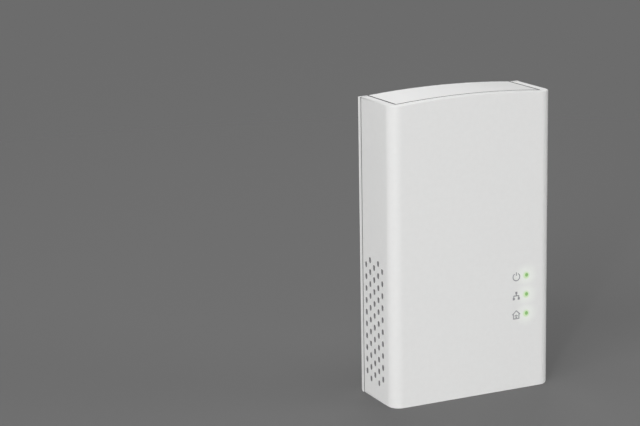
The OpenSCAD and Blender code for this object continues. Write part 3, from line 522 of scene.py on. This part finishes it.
def outline_copy(node, weigh, in_shade, width):
    source = nodes[node]
    mesh = source.data.copy()
    mesh.materials.append(joint_shade)
    mesh.materials.append(slot_shade)
    piece = bpy.data.objects.new("rounded_" + node, mesh)
    bpy.context.scene.collection.objects.link(piece)
    shape = bmesh.new()
    shape.from_mesh(mesh)
    bmesh.ops.remove_doubles(shape, verts=shape.verts, dist=merge_reach * MM)
    bmesh.ops.dissolve_limit(shape, angle_limit=flat_angle, verts=shape.verts, edges=shape.edges)
    weights = shape.edges.layers.float.new("bevel_weight_edge")
    marked = 0
    for edge in shape.edges:
        if len(edge.link_faces) == 2 and edge.calc_face_angle(0) > sharp_angle:
            edge.smooth = False
            if edge.is_convex:
                edge[weights] = weigh(*[v.co / MM for v in edge.verts])
                marked += edge[weights] > 0
    for face in shape.faces:
        face.smooth = True
        face.material_index = in_shade(face.calc_center_median() / MM, face.normal)
    shape.to_mesh(mesh)
    shape.free()
    bevel = piece.modifiers.new("outline", "BEVEL")
    bevel.limit_method = "WEIGHT"
    bevel.width = width * MM
    bevel.segments = 4
    bevel.use_clamp_overlap = False
    bevel.harden_normals = True
    bpy.context.view_layer.update()
    baked = bpy.data.meshes.new_from_object(piece.evaluated_get(bpy.context.evaluated_depsgraph_get()))
    piece.modifiers.clear()
    piece.data = baked
    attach(piece, "adapter")
    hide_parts(node)
    print(piece.name, "edges rounded:", marked, "faces:", len(baked.polygons))
    return piece


def box_in_mm(node):
    return [[v / MM for v in corner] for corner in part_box(node)]


(_, y_front, z_low), (x_high, y_rear, z_high) = box_in_mm("front_cover")
corner_radius = 4.0
touch, arc_touch = 0.02, 0.03
edge_on, face_on = 0.2, 0.9
lamp_keep, lip_zone, long_edge = 2, 2.5, 4
slot_wall, slot_bottom, slot_top, slot_front = 2.35, 3, 60, 4.5
opening_side, opening_front, opening_depth = 2.5, 1, 4


def on_cover_outline(point):
    if abs(abs(point.x) - x_high) < touch or abs(point.y - y_front) < touch:
        return True
    away = Vector((abs(point.x) - (x_high - corner_radius), point.y - (y_front + corner_radius)))
    return away.x > 0 and away.y < 0 and abs(away.length - corner_radius) < arc_touch


def cover_weight(first, second):
    if not (on_cover_outline(first) and on_cover_outline(second)):
        return 0.0
    middle_point = (first + second) / 2
    if any((middle_point - lamp_middle(name) / MM).length < lamp_keep for name in lamp_names):
        return 0.0
    if abs(first.z - z_low) < touch and abs(second.z - z_low) < touch:
        return 1.0
    if min(first.z, second.z) > z_high - lip_zone:
        return 0.8
    if abs(first.y - y_rear) < touch or abs(second.y - y_rear) < touch:
        return 0.4
    return 0.4 if (first - second).length > long_edge else 0.0


def cover_shade(place, normal):
    in_wall = x_high - slot_wall < abs(place.x) < x_high - arc_touch and abs(normal.x) < edge_on
    in_height = z_low + slot_bottom < place.z < z_low + slot_top
    in_depth = y_front + slot_front < place.y < y_rear - touch
    at_rear = place.y > y_rear - touch and normal.y > face_on
    in_opening = abs(place.x) < x_high - opening_side and place.y > y_front + opening_front
    beside_panel = in_opening and place.z > z_high - opening_depth and abs(normal.z) < edge_on
    return 2 if in_wall and in_height and in_depth else int(at_rear or beside_panel)


cover = outline_copy("front_cover", cover_weight, cover_shade, width=0.5)

# %% [markdown]
# The rear housing carries the back plate, the arched top panel and the bottom panel.
# The rim of the plate is rounded widely towards the wall, and the bottom's edges only a little.
# The panels' edges at the joints stay sharp, because there the shade should start at once.

# %% Rear housing
(_, _, housing_low), (housing_x, _, housing_high) = box_in_mm("rear_housing")
joint_inset, joint_half = 3.3, 0.3
joint_x = housing_x - joint_inset
plate_front, seam_rear = -2.5, -2.3
arch_zone, groove_zone, panel_zone, wall_zone = 1.3, 3, 3.6, 2.1
arch_edge_on, short_edge = 0.3, 0.5


def on_plate_rim(point):
    at_side = abs(abs(point.x) - housing_x) < touch
    return at_side or point.z < housing_low + touch or point.z > housing_high - arch_zone


def housing_weight(first, second):
    on_rim = on_plate_rim(first) and on_plate_rim(second)
    if min(first.y, second.y) > -touch:
        return 1.0 if on_rim else 0.0
    on_bottom = max(first.z, second.z) < housing_low + touch
    return 0.12 if on_bottom and (first - second).length > short_edge else 0.0


def housing_shade(place, normal):
    if place.y < plate_front:
        beside_lip = place.z > housing_high - panel_zone and abs(normal.z) < arch_edge_on
        beside_wall = place.z < housing_low + wall_zone and abs(normal.z) < edge_on
        return int(beside_lip or beside_wall)
    at_seam = normal.y < -face_on and place.y < seam_rear
    in_groove = place.z > housing_high - groove_zone and abs(abs(place.x) - joint_x) < joint_half + touch
    return int(at_seam or in_groove)


outline_copy("rear_housing", housing_weight, housing_shade, width=1.2)

# %% [markdown]
# Four small cross-head screws close the back.
# They are alike, so Geometry Nodes make one and place it on four points: a disc with two crossed slots.
# The sizes are named inputs of the tree, and the result is turned into a plain mesh.

# %% Housing screws
def new_tree(name, inputs):
    tree = bpy.data.node_groups.new(name, "GeometryNodeTree")
    tree.interface.new_socket("Geometry", in_out="INPUT", socket_type="NodeSocketGeometry")
    for label, kind in inputs:
        tree.interface.new_socket(label, in_out="INPUT", socket_type="NodeSocket" + kind.capitalize())
    tree.interface.new_socket("Geometry", in_out="OUTPUT", socket_type="NodeSocketGeometry")
    return tree, tree.nodes.new("NodeGroupInput"), tree.nodes.new("NodeGroupOutput")


def add_node(tree, kind, links=(), **settings):
    node = tree.nodes.new(kind)
    for label, value in settings.items():
        setattr(node, label, value)
    for socket, value in links:
        target = node.inputs[socket]
        if isinstance(value, bpy.types.NodeSocket):
            tree.links.new(value, target)
        else:
            target.default_value = value
    return node


def run_tree(piece, tree, values):
    modifier = piece.modifiers.new(tree.name, "NODES")
    modifier.node_group = tree
    for item in tree.interface.items_tree:
        if item.item_type == "SOCKET" and item.in_out == "INPUT" and item.name in values:
            modifier[item.identifier] = values[item.name]
    bpy.context.view_layer.update()
    mesh = bpy.data.meshes.new_from_object(piece.evaluated_get(bpy.context.evaluated_depsgraph_get()))
    name = piece.name
    bpy.data.objects.remove(piece)
    result = bpy.data.objects.new(name, mesh)
    bpy.context.scene.collection.objects.link(result)
    print(name, "faces:", len(mesh.polygons))
    return result


def points_object(name, points):
    mesh = bpy.data.meshes.new(name)
    mesh.from_pydata(points, [], [])
    piece = bpy.data.objects.new(name, mesh)
    bpy.context.scene.collection.objects.link(piece)
    return piece


screw_tree, screw_in, screw_out = new_tree("cross_head_screws", [
    ("Head Radius", "float"), ("Head Height", "float"), ("Slot Width", "float"), ("Slot Length", "float"),
    ("Slot Depth", "float"), ("Shank Radius", "float"), ("Shank Length", "float"), ("Finish", "material")])
head = add_node(screw_tree, "GeometryNodeMeshCylinder", [
    ("Vertices", 40), ("Radius", screw_in.outputs["Head Radius"]),
    ("Depth", screw_in.outputs["Head Height"])])
shank = add_node(screw_tree, "GeometryNodeMeshCylinder", [
    ("Vertices", 24), ("Radius", screw_in.outputs["Shank Radius"]),
    ("Depth", screw_in.outputs["Shank Length"])])
half_head = add_node(screw_tree, "ShaderNodeMath", [
    (0, screw_in.outputs["Head Height"]), (1, 0.5)], operation="MULTIPLY")
half_shank = add_node(screw_tree, "ShaderNodeMath", [
    (0, screw_in.outputs["Shank Length"]), (1, -0.5)], operation="MULTIPLY")
down_place = add_node(screw_tree, "ShaderNodeCombineXYZ", [("Z", half_shank.outputs[0])])
lowered = add_node(screw_tree, "GeometryNodeTransform", [
    ("Geometry", shank.outputs["Mesh"]), ("Translation", down_place.outputs[0])])
whole = add_node(screw_tree, "GeometryNodeMeshBoolean", [
    ("Mesh 2", head.outputs["Mesh"])], operation="UNION")
screw_tree.links.new(lowered.outputs[0], whole.inputs["Mesh 2"])
slot_size = add_node(screw_tree, "ShaderNodeCombineXYZ", [
    ("X", screw_in.outputs["Slot Length"]), ("Y", screw_in.outputs["Slot Width"]),
    ("Z", screw_in.outputs["Slot Depth"])])
slot_cut = add_node(screw_tree, "GeometryNodeMeshCube", [("Size", slot_size.outputs[0])])
slot_up = add_node(screw_tree, "ShaderNodeCombineXYZ", [("Z", half_head.outputs[0])])
along = add_node(screw_tree, "GeometryNodeTransform", [
    ("Geometry", slot_cut.outputs["Mesh"]), ("Translation", slot_up.outputs[0])])
across = add_node(screw_tree, "GeometryNodeTransform", [
    ("Geometry", slot_cut.outputs["Mesh"]), ("Translation", slot_up.outputs[0]),
    ("Rotation", (0, 0, math.radians(90)))])
cut = add_node(screw_tree, "GeometryNodeMeshBoolean", [
    ("Mesh 1", whole.outputs["Mesh"])], operation="DIFFERENCE")
screw_tree.links.new(along.outputs[0], cut.inputs["Mesh 2"])
screw_tree.links.new(across.outputs[0], cut.inputs["Mesh 2"])
spread_out = add_node(screw_tree, "GeometryNodeInstanceOnPoints", [
    ("Points", screw_in.outputs["Geometry"]), ("Instance", cut.outputs["Mesh"]),
    ("Rotation", (math.radians(-90), 0, 0))])
real = add_node(screw_tree, "GeometryNodeRealizeInstances", [("Geometry", spread_out.outputs[0])])
painted = add_node(screw_tree, "GeometryNodeSetMaterial", [
    ("Geometry", real.outputs[0]), ("Material", screw_in.outputs["Finish"])])
screw_tree.links.new(painted.outputs[0], screw_out.inputs[0])

low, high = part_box("housing_screws")
head_radius, head_height = 2.2 * MM, 1.1 * MM
points = [(x, high[1] - head_height / 2, z) for x in (low[0] + head_radius, high[0] - head_radius)
          for z in (low[2] + head_radius, high[2] - head_radius)]
screws = run_tree(points_object("cross_head_screws", points), screw_tree, {
    "Head Radius": head_radius, "Head Height": head_height, "Slot Width": 0.55 * MM, "Slot Length": 2.6 * MM,
    "Slot Depth": 1.1 * MM, "Shank Radius": 1.1 * MM, "Shank Length": high[1] - low[1] - head_height / 2,
    "Finish": slot_finishes["screw_steel"]})
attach(screws, "adapter")
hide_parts("housing_screws")

# %% [markdown]
# The network port shows eight gilt spring wires that rise from its floor.
# Each is the same bent strip, so one curve is swept with a small rectangle and repeated in a row.
# A curve gives the wire its soft bends, which a straight block would lack.

# %% Spring contacts of the port
contact_tree, contact_in, contact_out = new_tree("contact_row", [
    ("Count", "int"), ("Pitch", "vector"), ("Wire Width", "float"), ("Wire Thickness", "float"),
    ("Finish", "material")])
strip = add_node(contact_tree, "GeometryNodeCurvePrimitiveQuadrilateral", [
    ("Width", contact_in.outputs["Wire Width"]), ("Height", contact_in.outputs["Wire Thickness"])])
wire = add_node(contact_tree, "GeometryNodeCurveToMesh", [
    ("Curve", contact_in.outputs["Geometry"]), ("Profile Curve", strip.outputs["Curve"]),
    ("Fill Caps", True)])
row = add_node(contact_tree, "GeometryNodeMeshLine", [
    ("Count", contact_in.outputs["Count"]), ("Offset", contact_in.outputs["Pitch"])])
wires = add_node(contact_tree, "GeometryNodeInstanceOnPoints", [
    ("Points", row.outputs["Mesh"]), ("Instance", wire.outputs["Mesh"])])
real = add_node(contact_tree, "GeometryNodeRealizeInstances", [("Geometry", wires.outputs[0])])
painted = add_node(contact_tree, "GeometryNodeSetMaterial", [
    ("Geometry", real.outputs[0]), ("Material", contact_in.outputs["Finish"])])
contact_tree.links.new(painted.outputs[0], contact_out.inputs[0])

low, high = [Vector(corner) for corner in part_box("jack_contacts")]
wire_width, wire_count = 0.45 * MM, 8
pitch = (high.x - low.x - wire_width) / (wire_count - 1)
wire_x = low.x + wire_width / 2
bends = [(0.96, 0.03), (0.93, 0.10), (0.70, 0.32), (0.30, 0.70), (0.10, 0.90), (0.08, 0.97)]
path = bpy.data.curves.new("contact_row", "CURVE")
path.dimensions = "3D"
spline = path.splines.new("BEZIER")
spline.bezier_points.add(len(bends) - 1)
for point, (share_y, share_z) in zip(spline.bezier_points, bends):
    point.co = (wire_x, low.y + share_y * (high.y - low.y), low.z + share_z * (high.z - low.z))
    point.handle_left_type = point.handle_right_type = "AUTO"
spline.resolution_u = 4
contact_path = bpy.data.objects.new("contact_row", path)
bpy.context.scene.collection.objects.link(contact_path)
contacts = run_tree(contact_path, contact_tree, {
    "Count": wire_count, "Pitch": (pitch, 0.0, 0.0), "Wire Width": wire_width, "Wire Thickness": 0.25 * MM,
    "Finish": slot_finishes["contact_gold"]})
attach(contacts, "adapter")
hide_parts("jack_contacts")

# %% [markdown]
# The choke inside is a ferrite ring with two coils of enamelled wire.
# A coil is many equal turns round an arc, so Geometry Nodes sweep one rounded loop and repeat it by angle.

# %% Choke turns
choke_tree, choke_in, choke_out = new_tree("choke_turns", [
    ("Turns", "int"), ("Step Angle", "float"), ("Start Angle", "float"), ("Mean Radius", "float"),
    ("Loop Width", "float"),
    ("Loop Height", "float"), ("Wire Radius", "float"), ("Centre", "vector"), ("Finish", "material")])
loop = add_node(choke_tree, "GeometryNodeCurvePrimitiveQuadrilateral", [
    ("Width", choke_in.outputs["Loop Width"]), ("Height", choke_in.outputs["Loop Height"])])
soft_loop = add_node(choke_tree, "GeometryNodeFilletCurve", [("Curve", loop.outputs["Curve"])])
choke_tree.links.new(choke_in.outputs["Wire Radius"], soft_loop.inputs["Radius"])
upright = add_node(choke_tree, "GeometryNodeTransform", [
    ("Geometry", soft_loop.outputs[0]), ("Rotation", (math.radians(90), 0, 0))])
thread = add_node(choke_tree, "GeometryNodeCurvePrimitiveCircle", [
    ("Resolution", 8), ("Radius", choke_in.outputs["Wire Radius"])])
turn_mesh = add_node(choke_tree, "GeometryNodeCurveToMesh", [
    ("Curve", upright.outputs[0]), ("Profile Curve", thread.outputs["Curve"])])
radius_place = add_node(choke_tree, "ShaderNodeCombineXYZ", [("X", choke_in.outputs["Mean Radius"])])
moved_out = add_node(choke_tree, "GeometryNodeTransform", [
    ("Geometry", turn_mesh.outputs[0]), ("Translation", radius_place.outputs[0])])
seats = add_node(choke_tree, "GeometryNodeMeshLine", [
    ("Count", choke_in.outputs["Turns"]), ("Offset", (0, 0, 0))])
number = add_node(choke_tree, "GeometryNodeInputIndex")
swept = add_node(choke_tree, "ShaderNodeMath", [
    (0, number.outputs[0]), (1, choke_in.outputs["Step Angle"]),
    (2, choke_in.outputs["Start Angle"])], operation="MULTIPLY_ADD")
turned = add_node(choke_tree, "ShaderNodeCombineXYZ", [("Z", swept.outputs[0])])
coil = add_node(choke_tree, "GeometryNodeInstanceOnPoints", [
    ("Points", seats.outputs["Mesh"]), ("Instance", moved_out.outputs[0]), ("Rotation", turned.outputs[0])])
real = add_node(choke_tree, "GeometryNodeRealizeInstances", [("Geometry", coil.outputs[0])])
other = add_node(choke_tree, "GeometryNodeTransform", [
    ("Geometry", real.outputs[0]), ("Rotation", (0, 0, math.radians(180)))])
both = add_node(choke_tree, "GeometryNodeJoinGeometry", [("Geometry", real.outputs[0])])
choke_tree.links.new(other.outputs[0], both.inputs[0])
laid = add_node(choke_tree, "GeometryNodeTransform", [
    ("Geometry", both.outputs[0]), ("Translation", choke_in.outputs["Centre"]),
    ("Rotation", (math.radians(90), 0, 0))])
painted = add_node(choke_tree, "GeometryNodeSetMaterial", [
    ("Geometry", laid.outputs[0]), ("Material", choke_in.outputs["Finish"])])
choke_tree.links.new(painted.outputs[0], choke_out.inputs[0])

low, high = [Vector(corner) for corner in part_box("choke_core")]
outer, inner = (high.x - low.x) / 2, 2.6 * MM
wire_radius = 0.38 * MM
turn_count = 12
coil_sweep, coil_start = 122, 29
round_core = 2 * wire_radius + 0.1 * MM
coils = run_tree(points_object("choke_turns", [(0, 0, 0)]), choke_tree, {
    "Turns": turn_count, "Step Angle": math.radians(coil_sweep / (turn_count - 1)),
    "Start Angle": math.radians(coil_start), "Mean Radius": (outer + inner) / 2,
    "Loop Width": outer - inner + round_core, "Loop Height": high.y - low.y + round_core,
    "Wire Radius": wire_radius,
    "Centre": (low + high) / 2, "Finish": slot_finishes["copper_wire"]})
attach(coils, "adapter")
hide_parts("choke_windings")

# %% [markdown]
# Beside the lamps the cover carries three small grey prints: a power ring, a network tree and a house.
# They are generic signs, drawn as thin ribbons along short paths, which keep sharp edges at any size.
# An image would be blurred in a close view, and lettering isn't wanted here.
# The front of the cover's copy is set back by the print's thickness, so the print ends in the frame's box.

# %% Printed signs
def ribbon(shape, path, width, place, closed=False):
    count = len(path)
    pairs = []
    for i, here in enumerate(path):
        before = path[(i - 1) % count] if closed or i > 0 else None
        after = path[(i + 1) % count] if closed or i < count - 1 else None
        into = (here - before).normalized() if before is not None else (after - here).normalized()
        out = (after - here).normalized() if after is not None else into
        side_in, side_out = Vector((-into.y, into.x)), Vector((-out.y, out.x))
        mitre = (side_in + side_out).normalized()
        mitre *= width / 2 / max(0.4, mitre.dot(side_in))
        pairs.append((here + mitre, here - mitre))
    top = [[shape.verts.new(place(p, 1)) for p in pair] for pair in pairs]
    base = [[shape.verts.new(place(p, 0)) for p in pair] for pair in pairs]
    for i in range(count if closed else count - 1):
        j = (i + 1) % count
        shape.faces.new((top[i][0], top[i][1], top[j][1], top[j][0]))
        shape.faces.new((base[i][1], base[i][0], base[j][0], base[j][1]))
        for k in (0, 1):
            shape.faces.new((top[i][k], top[j][k], base[j][k], base[i][k]))
    if not closed:
        for i in (0, count - 1):
            shape.faces.new((top[i][0], top[i][1], base[i][1], base[i][0]))


def arc_path(centre, radius, start_angle, end_angle, steps):
    angles = [math.radians(start_angle + (end_angle - start_angle) * i / steps) for i in range(steps + 1)]
    return [Vector((centre[0] + radius * math.cos(a), centre[1] + radius * math.sin(a))) for a in angles]


def line_path(*points):
    return [Vector(p) for p in points]


stroke, ink_t = 0.33, 0.012
box_size = 0.8


def box_path(x, z):
    return line_path((x - box_size / 2, z), (x + box_size / 2, z))


signs = {
    "power_light_pipe": [
        (arc_path((0, -0.15), 1.28, 122, 418, 28), False, stroke),
        (line_path((0, 0.3), (0, 1.45)), False, stroke)],
    "link_light_pipe": [
        (box_path(0, 0.95), False, box_size),
        (box_path(-0.95, -1.05), False, box_size), (box_path(0.95, -1.05), False, box_size),
        (line_path((0, 0.6), (0, -0.05)), False, stroke),
        (line_path((-0.95, -0.7), (-0.95, -0.05), (0.95, -0.05), (0.95, -0.7)), False, stroke)],
    "network_light_pipe": [
        (line_path((-1.05, 0.25), (-1.05, -1.35), (1.05, -1.35), (1.05, 0.25)), False, stroke),
        (line_path((-1.5, 0.05), (0, 1.35), (1.5, 0.05)), False, stroke),
        (arc_path((0, -0.8), 0.62, 30, 150, 10), False, stroke),
        (arc_path((0, -0.85), 0.12, 0, 324, 9), True, stroke)],
}
sign_shift = -3.8
ink = finish("print_grey", (0.33, 0.33, 0.35), 0.6, grain=5200, depth=0.003, blotch=900, spread=0.08,
             edge_amount=0.0, dust=0.0)
for vertex in cover.data.vertices:
    if vertex.co.y < (y_front + 0.001) * MM:
        vertex.co.y = (y_front + ink_t) * MM
shape = bmesh.new()
for lamp, paths in signs.items():
    lamp_end = lamp_middle(lamp) / MM

    def on_front(point, layer, lamp_end=lamp_end):
        depth = y_front + (0 if layer else 2 * ink_t)
        return Vector((lamp_end.x + sign_shift + point.x, depth, lamp_end.z + point.y)) * MM

    for path_points, is_closed, width in paths:
        ribbon(shape, path_points, width, on_front, is_closed)
bmesh.ops.recalc_face_normals(shape, faces=shape.faces)
sign_mesh = bpy.data.meshes.new("printed_signs")
shape.to_mesh(sign_mesh)
shape.free()
printed = bpy.data.objects.new("printed_signs", sign_mesh)
bpy.context.scene.collection.objects.link(printed)
sign_mesh.materials.append(ink)
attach(printed, "adapter")
print("printed signs:", len(signs), "faces:", len(sign_mesh.polygons))
